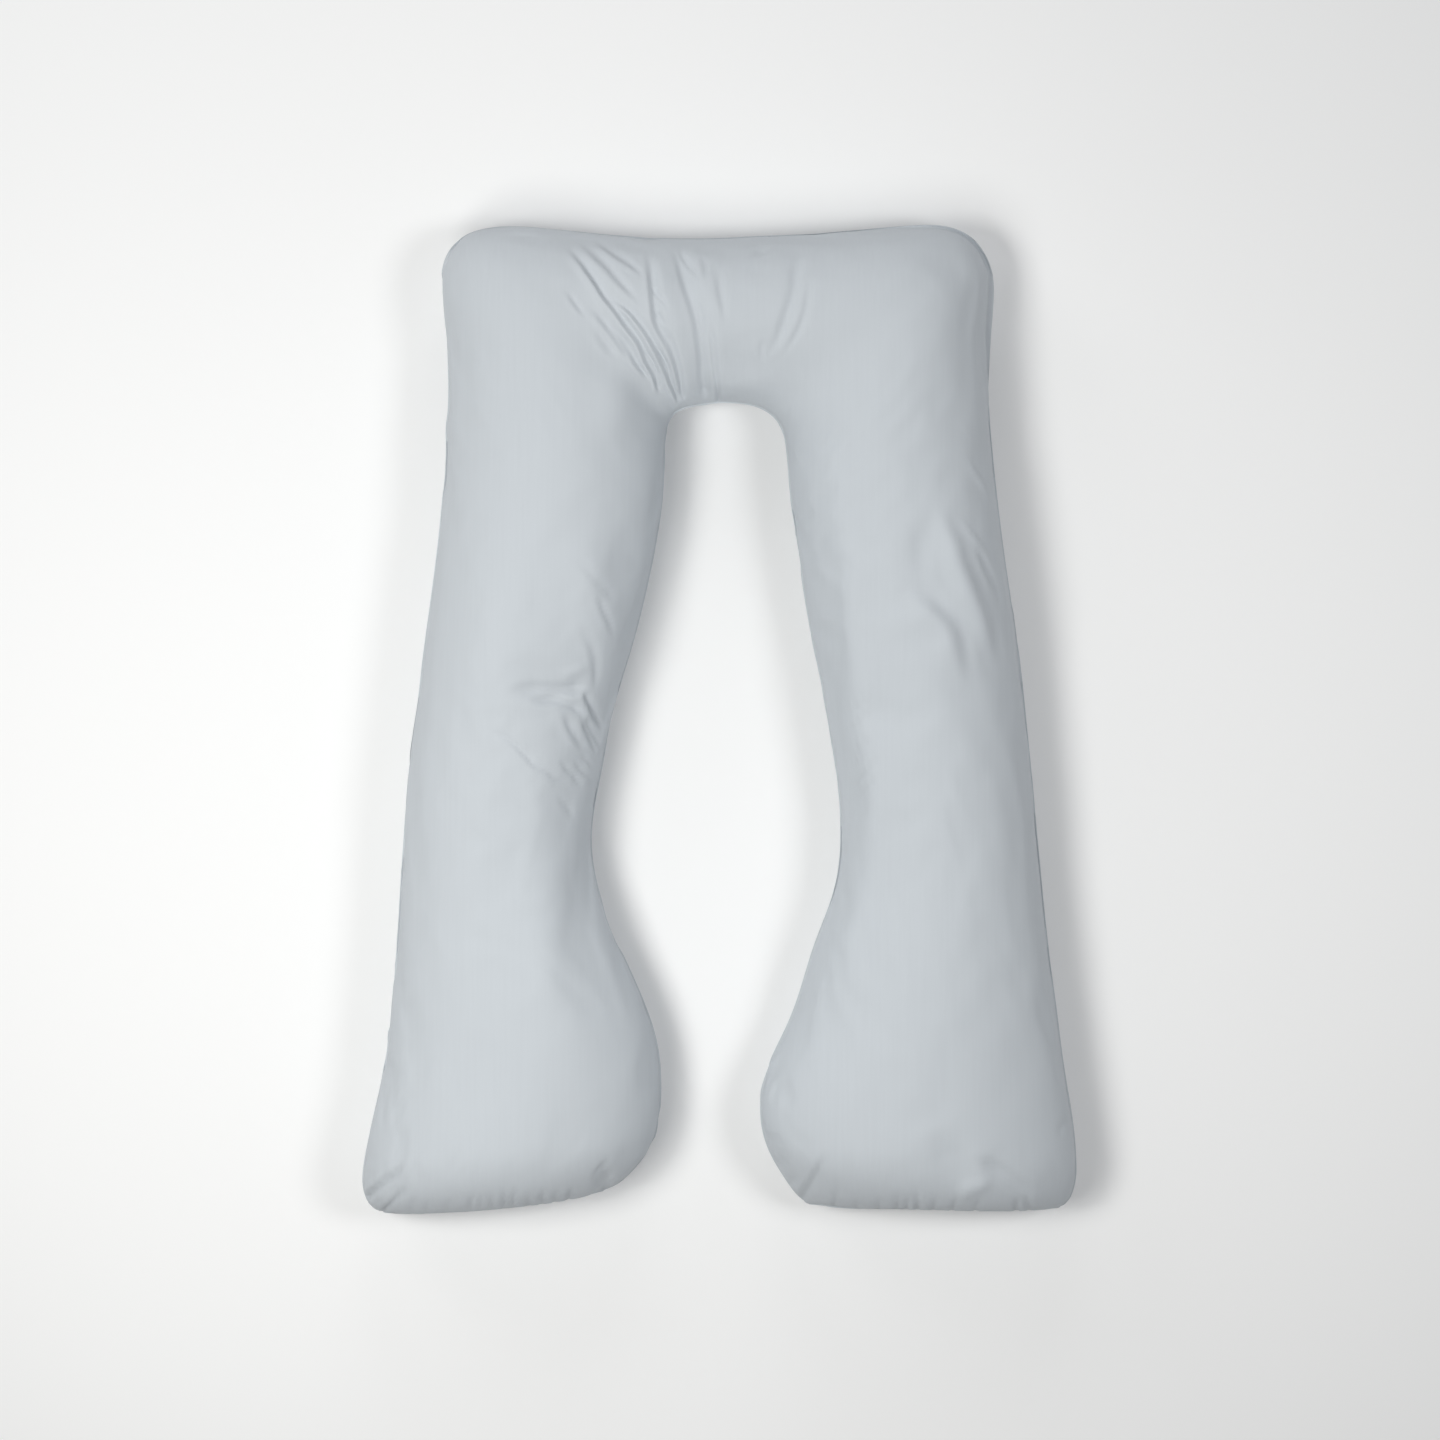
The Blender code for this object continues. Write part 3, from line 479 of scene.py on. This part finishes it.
class Grid:
    """The cover as rows along the tube by places round it, with what each point needs to know."""

    def __init__(self, step_scale=1, fine_spots=FINE_SPOTS, rim=(LIP_RIM,)):
        rows = section_rows(step_scale, fine_spots)
        self.outer = rows[:, None, 0:2]
        self.inner = rows[:, None, 2:4]
        self.thickness = rows[:, None, 4]
        self.bow = rows[:, None, 5:6]
        self.across = self.inner - self.outer
        self.half = np.linalg.norm(self.across, axis=2) / 2
        middle = (rows[:, 0:2] + rows[:, 2:4]) / 2
        self.travelled = running_total(step_lengths(middle))
        length = self.travelled[-1]
        self.end_gap = np.minimum(self.travelled, length - self.travelled)[:, None]
        inward = np.gradient(middle, axis=0)
        inward /= np.linalg.norm(inward, axis=1)[:, None]
        inward[self.travelled > length / 2] *= -1
        self.inward = inward[:, None, :]
        self.lay_ring(int(CROWN_SPANS / step_scale), int(UNDER_SPANS / step_scale), rim)
        self.points = self.base_form()

    def lay_ring(self, crown_spans, under_spans, rim):
        """Round each section: the seam's outer edge, its rim, the crown, the rim, the inner edge, and
        back underneath. swell_at runs from -1 to 1 between the two grooves beside the seam, side is 1 on
        the crown and -1 underneath, and edge is the share of the turned edge outside the groove."""
        crown = even_offsets(swell, SPACING_RISE, crown_spans)
        under = even_offsets(pressed, SPACING_DROP, under_spans)[::-1]
        ring = [(-1, 0, 1)] + [(-1, 1, share) for share in rim] + [(at, 1, 0) for at in crown]
        ring += [(1, 1, share) for share in rim] + [(1, 0, 1)] + [(1, -1, share) for share in rim]
        ring += [(at, -1, 0) for at in under] + [(-1, -1, share) for share in rim]
        self.swell_at, self.side, self.edge = np.array(ring, float).T
        lip = LIP_WIDTH / self.half
        self.offset = self.swell_at * (1 - lip) + np.sign(self.swell_at) * lip * self.edge

    def plan(self, offset):
        """Where a place at this offset across its section lies, seen from above."""
        share = ((offset + 1) / 2)[..., None]
        bowed = self.bow * (1 - np.abs(offset) ** BOW_POWER)[..., None]
        bowed = bowed + END_STRETCH * np.clip(1 - self.end_gap / STRETCH_REACH, 0, 1)[..., None] ** 2
        return self.outer + self.across * share - self.inward * bowed

    def base_form(self):
        """The stuffed form without folds: crowned on top, drawn in to the seam, flat where it rests."""
        gap = np.maximum(self.end_gap - LIP_WIDTH, 0)
        crown_rise = np.sqrt(1 - np.clip(1 - gap / CROWN_REACH, 0, 1) ** CROWN_POWER)
        keel_drop = swell(1 - gap / KEEL_REACH)
        seam = self.thickness * (END_SEAM_SHARE + (SEAM_SHARE - END_SEAM_SHARE) * crown_rise)
        lip = LIP_HALF * np.clip(LIP_END_SHARE + self.end_gap / LIP_END_REACH, 0, 1)
        rise = (self.thickness - seam) * crown_rise * swell(np.abs(self.swell_at))
        drop = seam * keel_drop * pressed(self.swell_at)
        top = seam + lip + rise
        bottom = np.maximum(seam - lip - drop, 0)
        height = np.where(self.side > 0, top, np.where(self.side < 0, bottom, seam))
        return np.concatenate([self.plan(self.offset), height[..., None]], axis=2)

    def seam_distance(self):
        """Distance of each point from the nearest seam, round the ring or along to the end."""
        closed = np.concatenate([self.points, self.points[:, :1]], axis=1)
        walked = np.cumsum(np.linalg.norm(np.diff(closed, axis=1), axis=2), axis=1)
        place = np.concatenate([np.zeros((len(walked), 1)), walked[:, :-1]], axis=1)
        far = place[:, self.side == 0][:, 1:]
        nearest = np.minimum(np.minimum(place, walked[:, -1:] - place), np.abs(place - far))
        return np.minimum(nearest, self.end_gap)

    def row_gaps(self):
        """Distance between rows at each point, as a share of the widest on the same row."""
        apart = np.linalg.norm(np.gradient(self.points, axis=0), axis=2)
        return apart / apart.max(axis=1)[:, None]


def normals(points):
    """Outward direction at each point of a grid."""
    along = np.gradient(points, axis=0)
    around = np.roll(points, -1, axis=1) - np.roll(points, 1, axis=1)
    normal = np.cross(around, along)
    return normal / np.maximum(np.linalg.norm(normal, axis=2), TINY)[..., None]


def ring_faces(rows, ring):
    """Four-sided faces over the grid, and one long face across each foot's edge."""
    index = np.arange(rows * ring).reshape(rows, ring)
    after = np.roll(index, -1, axis=1)
    quads = np.stack([index[:-1], after[:-1], after[1:], index[1:]], axis=2).reshape(-1, 4)
    return quads.tolist() + [index[0][::-1].tolist(), index[-1].tolist()]


def add_surface(name, points):
    """A closed mesh object over a grid of points."""
    rows, ring = points.shape[:2]
    mesh = bpy.data.meshes.new(name)
    mesh.from_pydata(points.reshape(-1, 3).tolist(), [], ring_faces(rows, ring))
    mesh.update()
    surface = bpy.data.objects.new(name, mesh)
    bpy.context.scene.collection.objects.link(surface)
    return surface


# ================================================================ folds
def ease(share):
    """From 0 to 1 with level ends."""
    share = np.clip(share, 0, 1)
    return share * share * (3 - 2 * share)


def hump(offset):
    """1 on the line, sinking to 0 at an offset of 1 on either side, level at both."""
    return 0.5 + 0.5 * np.cos(np.pi * np.clip(np.abs(offset), 0, 1))


def taper(share, fade_in, fade_out):
    """From 0 at the start of a line up to 1 and down to 0 at its end."""
    return ease(share / fade_in) * ease((1 - share) / fade_out)


def smooth_line(line):
    """Points of a smooth curve through a line's points."""
    line = np.array(line, float)
    if len(line) == 2:
        return line
    knots = running_total(step_lengths(line))
    return spline(knots, line, np.linspace(0, knots[-1], LINE_POINTS))


def line_distance(line, plan):
    """Distance from a line, on its right if positive, and the share of it at which it is nearest."""
    best = np.full(len(plan), np.inf)
    signed = np.zeros(len(plan))
    share = np.zeros(len(plan))
    for i, (start, end) in enumerate(zip(line, line[1:])):
        run = end - start
        to = plan - start
        along = np.clip((to @ run) / (run @ run), 0, 1)
        gap = np.linalg.norm(to - along[:, None] * run, axis=1)
        right = run[1] * to[:, 0] - run[0] * to[:, 1]
        nearer = gap < best
        signed = np.where(nearer, np.where(right > 0, gap, -gap), signed)
        share = np.where(nearer, (i + along) / (len(line) - 1), share)
        best = np.where(nearer, gap, best)
    return signed, share


def crease_push(crease, plan):
    signed, share = line_distance(smooth_line(crease.line), plan)
    narrow = np.clip(CREASE_START + CREASE_GROWTH * share, 0, 1)
    left = crease.left_z * hump(signed / (crease.left * narrow))
    right = crease.right_z * hump(signed / (crease.right * narrow))
    step = ease(0.5 + 0.5 * signed / crease.wall)
    return (left * (1 - step) + right * step) * taper(share, crease.fade_in, crease.fade_out)


def pucker_line(pucker):
    return (pucker.x, pucker.y), (pucker.x + pucker.lean, pucker.y + pucker.length)


def pucker_push(pucker, plan):
    signed, share = line_distance(smooth_line(pucker_line(pucker)), plan)
    fade = ease((1 - share) / PUCKER_FADE)
    return -PUCKER_STRENGTH * pucker.depth * hump(signed / PUCKER_REACH) * fade


def swelling_push(swelling, plan):
    signed, share = line_distance(smooth_line(swelling.line), plan)
    round_top = np.exp(-((signed / swelling.reach) ** 2))
    return swelling.height * round_top * taper(share, SWELLING_FADE, SWELLING_FADE)


def all_folds():
    """Every fold with its line, how far it reaches and the function that says what it pushes."""
    for swelling in SWELLINGS:
        yield swelling, swelling.line, SWELLING_EDGE * swelling.reach, swelling_push
    for crease in CREASES:
        yield crease, crease.line, max(crease.left, crease.right), crease_push
    for pucker in PUCKERS:
        yield pucker, pucker_line(pucker), PUCKER_REACH, pucker_push


def lay_folds(grid):
    """Sinks and raises the crown along every fold, along its own normal. The lines are drawn as they look
    from straight above, at the scale of the seam, where a higher place lies a little further out."""
    points = grid.points
    push = np.zeros(points.shape[:2])
    crown = grid.side > 0
    plan = points[:, crown, :2] * (SEEN_FROM / (SEEN_FROM + SEAM_HEIGHT - points[:, crown, 2:]))
    for fold, line, margin, fold_push in all_folds():
        low = np.min(line, axis=0) - margin
        high = np.max(line, axis=0) + margin
        inside = ((plan > low) & (plan < high)).all(axis=2)
        part = np.zeros(plan.shape[:2])
        part[inside] = fold_push(fold, plan[inside])
        push[:, crown] += part
    return points + normals(points) * (push * ease(grid.seam_distance() / FOLD_HOLD))[..., None]


# ================================================================ wrinkles
def resample(field, knots, stations):
    """Reads a field, given at knots along its first axis, at other stations."""
    left = np.clip(np.searchsorted(knots, stations, side="right") - 1, 0, len(knots) - 2)
    near = (stations - knots[left]) / (knots[left + 1] - knots[left])
    near = near.reshape((-1,) + (1,) * (field.ndim - 1))
    return field[left] * (1 - near) + field[left + 1] * near


def blur(field, grid, length):
    """Smooths a field over the grid by about this length, allowing for the uneven rows."""
    even = np.linspace(0, grid.travelled[-1], int(grid.travelled[-1] / EVEN_STEP) + 1)
    field = resample(field, grid.travelled, even)
    around = np.median(np.linalg.norm(np.diff(grid.points, axis=1), axis=2))
    for axis, step in ((0, EVEN_STEP), (1, around)):
        sigma = length / step
        reach = int(BLUR_REACH * sigma) + 1
        weights = np.exp(-0.5 * (np.arange(-reach, reach + 1) / sigma) ** 2)
        weights /= weights.sum()
        pad = [(0, 0)] * field.ndim
        pad[axis] = (reach, reach)
        padded = np.pad(field, pad, mode="wrap" if axis else "edge")
        size = field.shape[axis]
        field = sum(w * np.take(padded, range(k, k + size), axis=axis) for k, w in enumerate(weights))
    return resample(field, even, grid.travelled)


def add_weights(target, name, weights):
    group = target.vertex_groups.new(name=name)
    weights = np.round(weights.ravel(), 2)
    for weight in np.unique(weights):
        group.add(np.nonzero(weights == weight)[0].tolist(), float(weight), "REPLACE")


def make_cloth(grid, form):
    """Cloth that starts unevenly near the form, and would rest as panels cut a little too large for it."""
    noise = np.random.default_rng(CLOTH_SEED)
    jitter = blur(noise.normal(size=form.shape[:2]), grid, JITTER_LENGTH)
    jitter *= CLOTH_JITTER / jitter.std()
    cloth = add_surface("cloth_trial", form)
    begin = cloth.shape_key_add(name="begin")
    form_key = cloth.shape_key_add(name="form")
    begin.data.foreach_set("co", (form + normals(form) * jitter[..., None]).ravel())
    add_weights(cloth, "hold", np.full(form.shape[:2], CLOTH_HOLD))
    add_weights(cloth, "ease", np.exp(-((grid.seam_distance() / SEAM_REACH) ** 2)))

    modifier = cloth.modifiers.new("Cloth", "CLOTH")
    modifier.point_cache.frame_start = 1
    modifier.point_cache.frame_end = CLOTH_FRAMES
    settings = modifier.settings
    settings.rest_shape_key = form_key
    settings.quality = 6
    settings.mass = 0.1
    settings.tension_stiffness = 20
    settings.compression_stiffness = 20
    settings.shear_stiffness = 8
    settings.bending_stiffness = 30
    settings.air_damping = 2
    settings.vertex_group_mass = "hold"
    settings.pin_stiffness = 1
    settings.vertex_group_shrink = "ease"
    settings.shrink_min = -CLOTH_EASE
    settings.shrink_max = -SEAM_EASE
    settings.use_pressure = True
    settings.uniform_pressure_force = CLOTH_PRESSURE
    settings.effector_weights.gravity = 0
    return cloth


def simulate(grid, form):
    """Where the cloth settles over the form."""
    cloth = make_cloth(grid, form)
    scene = bpy.context.scene
    for step in range(1, CLOTH_FRAMES + 1):
        scene.frame_set(step)
    settled = cloth.evaluated_get(bpy.context.evaluated_depsgraph_get()).to_mesh()
    points = np.empty(form.size, np.float32)
    settled.vertices.foreach_get("co", points)
    scene.frame_set(1)
    mesh = cloth.data
    bpy.data.objects.remove(cloth)
    bpy.data.meshes.remove(mesh)
    return points.reshape(form.shape).astype(float)


def read_on(field, coarse, grid):
    """Reads a field over the coarse grid at the points of the cover's own."""
    rows = spline(coarse.travelled, field.reshape(len(field), -1), grid.travelled)
    rows = rows.reshape((-1,) + field.shape[1:])
    found = np.zeros(grid.points.shape)
    for side in (1, -1):
        source = coarse.side == side
        target = (grid.side == side) | (grid.side == 0)
        knots = coarse.swell_at[source] * side
        values = rows[:, source].transpose(1, 0, 2)
        read = spline(knots, values.reshape(len(knots), -1), grid.swell_at[target] * side)
        found[:, target] = read.reshape((-1,) + values.shape[1:]).transpose(1, 0, 2)
    return found


def limit(moves, cap):
    """Shortens moves smoothly, so that none is longer than the cap."""
    size = np.linalg.norm(moves, axis=-1, keepdims=True)
    return moves * np.tanh(size / cap) * cap / np.maximum(size, TINY)


def wrinkles(grid):
    """What the simulation's short forms alone add to the cover."""
    coarse = Grid(CLOTH_SCALE, fine_spots=(), rim=())
    form = lay_folds(coarse)
    moved = simulate(coarse, form) - form
    found = read_on(moved - blur(moved, coarse, WRINKLE_LENGTH), coarse, grid)
    found *= ease((grid.row_gaps() - CROWDED) / UNCROWDED)[..., None]
    for spot in CALM_SPOTS:
        from_spot = np.linalg.norm(grid.points[..., :2] - (spot.x, spot.y), axis=2)
        found *= ease(from_spot / spot.reach)[..., None]
    away = grid.seam_distance()[..., None]
    calm = 1 - (1 - PANEL_SHARE) * np.clip(away / PANEL_REACH, 0, 1)
    near = np.clip(away / SEAM_BAND, 0, 1)
    return limit(found, WRINKLE_CAP) * calm * near + limit(found, SEAM_CAP) * (1 - near)


# ================================================================ materials
COTTON_DARK = (0.560, 0.595, 0.630)
COTTON_LIGHT = (0.573, 0.609, 0.644)
STREAK_SCALE = (260, 7, 60)  # streaks to the metre across the pillow, along it and in height
THREAD_PITCH = 0.0012
THREAD_RELIEF = 0.00012
WAVE_TURN = 0.314  # a band of the wave texture spans this, divided by its scale
FLOOR_TONE = (0.95, 0.95, 0.95)


def cotton():
    """Plain woven cotton: threads along and across the pillow, and faint streaks where some are thicker."""
    material = bpy.data.materials.new("pale_cotton")
    material.use_nodes = True
    nodes, links = material.node_tree.nodes, material.node_tree.links
    shader = nodes["Principled BSDF"]
    shader.inputs["Roughness"].default_value = 0.85
    shader.inputs["Specular IOR Level"].default_value = 0.25
    shader.inputs["Sheen Weight"].default_value = 0.08
    shader.inputs["Sheen Roughness"].default_value = 0.5
    place = nodes.new("ShaderNodeTexCoord").outputs["Object"]
    links.new(streaked_color(nodes, links, place), shader.inputs["Base Color"])
    links.new(woven_relief(nodes, links, place), shader.inputs["Normal"])
    return material


def streaked_color(nodes, links, place):
    stretch = nodes.new("ShaderNodeMapping")
    stretch.inputs["Scale"].default_value = STREAK_SCALE
    links.new(place, stretch.inputs["Vector"])
    streaks = nodes.new("ShaderNodeTexNoise")
    streaks.inputs["Scale"].default_value = 1
    streaks.inputs["Detail"].default_value = 3
    links.new(stretch.outputs["Vector"], streaks.inputs["Vector"])
    tone = nodes.new("ShaderNodeValToRGB")
    dark, light = tone.color_ramp.elements
    dark.position = 0.25
    dark.color = (*COTTON_DARK, 1)
    light.position = 0.75
    light.color = (*COTTON_LIGHT, 1)
    links.new(streaks.outputs["Fac"], tone.inputs["Fac"])
    return tone.outputs["Color"]


def woven_relief(nodes, links, place):
    weave = nodes.new("ShaderNodeMath")
    weave.operation = "ADD"
    for axis, height in zip("XY", weave.inputs):
        threads = nodes.new("ShaderNodeTexWave")
        threads.bands_direction = axis
        threads.inputs["Scale"].default_value = WAVE_TURN / THREAD_PITCH
        threads.inputs["Distortion"].default_value = 0.6
        threads.inputs["Detail"].default_value = 1
        links.new(place, threads.inputs["Vector"])
        links.new(threads.outputs["Fac"], height)
    relief = nodes.new("ShaderNodeBump")
    relief.inputs["Strength"].default_value = 0.25
    relief.inputs["Distance"].default_value = THREAD_RELIEF
    links.new(weave.outputs["Value"], relief.inputs["Height"])
    return relief.outputs["Normal"]


def matt_paint():
    material = bpy.data.materials.new("pale_floor")
    material.use_nodes = True
    shader = material.node_tree.nodes["Principled BSDF"]
    shader.inputs["Base Color"].default_value = (*FLOOR_TONE, 1)
    shader.inputs["Roughness"].default_value = 0.9
    return material


# ================================================================ cover
def build_cover():
    grid = Grid()
    points = lay_folds(grid)
    points = points + wrinkles(grid)
    points[..., 2] = np.maximum(points[..., 2], 0)
    cover = add_surface("pillow_cover", points)
    cover.data.shade_smooth()
    cover.data.materials.append(cotton())
    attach(cover, "root")
    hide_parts("pillow")


# ================================================================ floor, lights and camera
FLOOR_SIDE = 12
VIEW_SIDE = 2.105  # side of the square that the camera sees at the height of the seam
LENS = 85
SENSOR = 36
SURROUND = 0.225  # strength of the even light from all round
WARM = (1.0, 0.997, 0.970)  # what the key lights fall on is a little less blue
COOL = (0.980, 0.990, 1.0)
Light = namedtuple("Light", "name place size power color")
LIGHTS = (
    Light("key_left", (-1.5, 0.0, 3.0), 1.0, 31.5, WARM),
    Light("key_feet", (-0.8, -0.6, 2.2), 1.0, 15.5, WARM),
    Light("fill_right", (1.8, 0.0, 3.0), 1.0, 25, COOL),
    Light("fill_head", (0.0, 3.6, 1.7), 2.0, 21, COOL),
    Light("fill_corner", (-2.55, 2.55, 1.7), 2.0, 17, COOL),
)


def build_floor():
    bpy.ops.mesh.primitive_plane_add(size=FLOOR_SIDE, location=(0, 0, 0))
    floor = bpy.context.object
    floor.name = "floor"
    floor.data.materials.append(matt_paint())


def soft_light(light):
    """A round soft light that faces the middle of the pillow."""
    data = bpy.data.lights.new(light.name, "AREA")
    data.shape = "DISK"
    data.size = light.size
    data.energy = light.power
    data.color = light.color
    lamp = bpy.data.objects.new(light.name, data)
    lamp.location = light.place
    lamp.rotation_euler = (-Vector(light.place)).to_track_quat("-Z", "Y").to_euler()
    lamp.visible_camera = False
    bpy.context.scene.collection.objects.link(lamp)


def light_scene():
    for light in LIGHTS:
        soft_light(light)
    world = bpy.data.worlds.new("studio")
    world.use_nodes = True
    surround = world.node_tree.nodes["Background"]
    surround.inputs["Color"].default_value = (*COOL, 1)
    surround.inputs["Strength"].default_value = SURROUND
    bpy.context.scene.world = world


def place_camera():
    data = bpy.data.cameras.new("camera")
    data.lens = LENS
    data.sensor_width = SENSOR
    camera = bpy.data.objects.new("camera", data)
    camera.location = (0, 0, SEAM_HEIGHT + VIEW_SIDE * LENS / SENSOR)
    bpy.context.scene.collection.objects.link(camera)
    bpy.context.scene.camera = camera


bpy.context.scene.view_settings.view_transform = "Standard"
place_camera()
build_floor()
light_scene()
build_cover()
